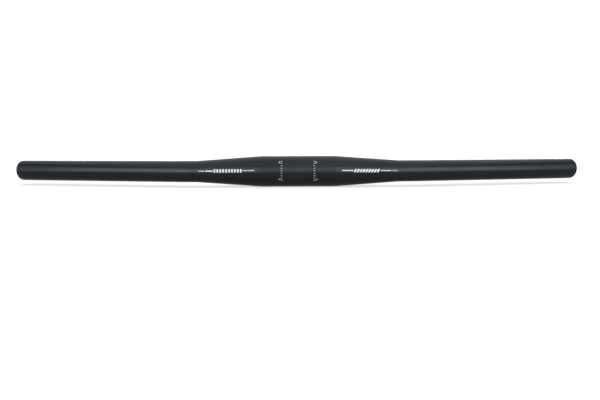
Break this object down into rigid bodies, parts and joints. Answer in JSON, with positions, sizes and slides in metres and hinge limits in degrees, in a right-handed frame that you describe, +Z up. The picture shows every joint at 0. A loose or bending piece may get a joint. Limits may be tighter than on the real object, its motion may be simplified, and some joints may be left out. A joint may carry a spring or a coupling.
{
  "type": "flat handlebar",
  "caption": "Flat bicycle handlebar: a hollow butted tube, thickest at the stem seat, tapering to straight grips that sweep back.",
  "frame": {"origin": "middle of the clamp seat, on its axis", "axes": "+X along the clamp seat, +Y towards the rider, the way the grips sweep back, +Z up"},
  "size_m": [0.6244, 0.0679, 0.0318],
  "materials": {
    "black_anodised": "satin black anodised",
    "white_print": "matt white pad print"
  },
  "bodies": {
    "root": {"handlebar": "black_anodised"}
  },
  "joints": []
}
